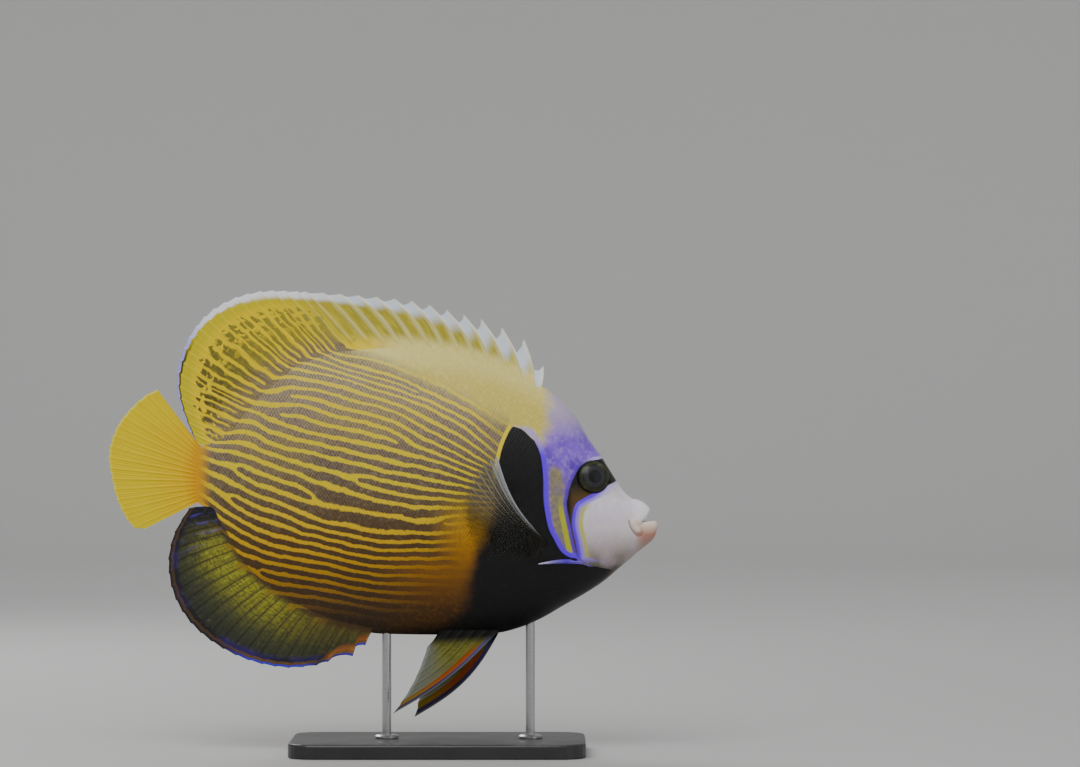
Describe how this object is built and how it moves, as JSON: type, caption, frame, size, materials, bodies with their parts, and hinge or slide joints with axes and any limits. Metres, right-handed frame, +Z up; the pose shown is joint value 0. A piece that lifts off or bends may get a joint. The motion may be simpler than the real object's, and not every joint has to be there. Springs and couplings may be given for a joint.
{
  "type": "emperor angelfish display model",
  "caption": "Life-size still model of an adult emperor angelfish with raised fins, held level by two short rods on a flat base.",
  "frame": {"origin": "middle of the model's footprint box, on the surface that the stand's base rests on", "axes": "+X towards the snout, +Y towards the fish's left side, +Z up"},
  "size_m": [0.2982, 0.09, 0.2514],
  "materials": {
    "head_skin": "moist scaled skin, purple forehead, black eye mask, pale muzzle",
    "lip_skin": "smooth moist lips, pinkish brown and pale lavender",
    "eye": "clear wet eye with a dark olive iris and a black pupil",
    "cheek_spine": "smooth bony spine, bright blue with a pale tip",
    "striped_skin": "fine scales, wavy yellow lines on a grey and mauve ground",
    "yellow_fin": "thin fin membrane over rays, yellow with fine radial lines",
    "olive_fin": "thin fin membrane over rays, olive and blue black with a bright blue edge",
    "clear_fin": "thin cloudy fin membrane with whitish rays",
    "stand_base": "satin dark grey",
    "stand_rod": "satin steel"
  },
  "bodies": {
    "root": {"head": "head_skin", "upper_jaw": "lip_skin", "lower_jaw": "lip_skin", "eye_left": "eye", "eye_right": "eye", "cheek_spine_left": "cheek_spine", "cheek_spine_right": "cheek_spine", "trunk": "striped_skin", "tail_stalk": "striped_skin", "dorsal_fin": "yellow_fin", "anal_fin": "olive_fin", "tail_fin": "yellow_fin", "pectoral_fin_left": "clear_fin", "pectoral_fin_right": "clear_fin", "pelvic_fin_left": "yellow_fin", "pelvic_fin_right": "yellow_fin", "stand_base": "stand_base", "stand_rod_front": "stand_rod", "stand_rod_rear": "stand_rod"}
  },
  "joints": []
}
